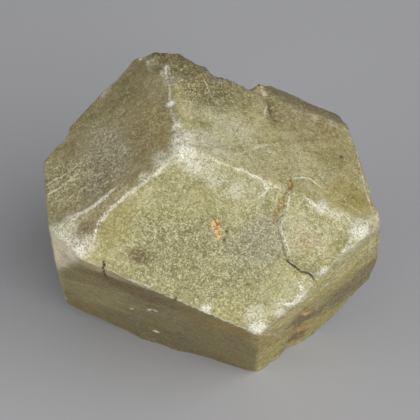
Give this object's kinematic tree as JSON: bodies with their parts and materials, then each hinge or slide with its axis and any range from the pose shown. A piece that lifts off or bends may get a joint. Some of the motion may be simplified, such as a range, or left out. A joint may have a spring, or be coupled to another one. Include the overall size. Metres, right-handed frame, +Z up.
{
  "type": "garnet crystal",
  "caption": "Loose olive-khaki garnet crystal: a distorted rhombic dodecahedron with beveled edges, broken corners and a flat parting face that it rests on.",
  "frame": {"origin": "middle of the bounding box at the level of the flat face that the crystal rests on", "axes": "+Z up, -Y the side with the large front face, +X to the right as the front face is looked at"},
  "size_m": [0.0246, 0.023, 0.0281],
  "materials": {
    "garnet": "rough, with a dull vitreous lustre"
  },
  "bodies": {
    "root": {"garnet_crystal": "garnet"}
  },
  "joints": []
}
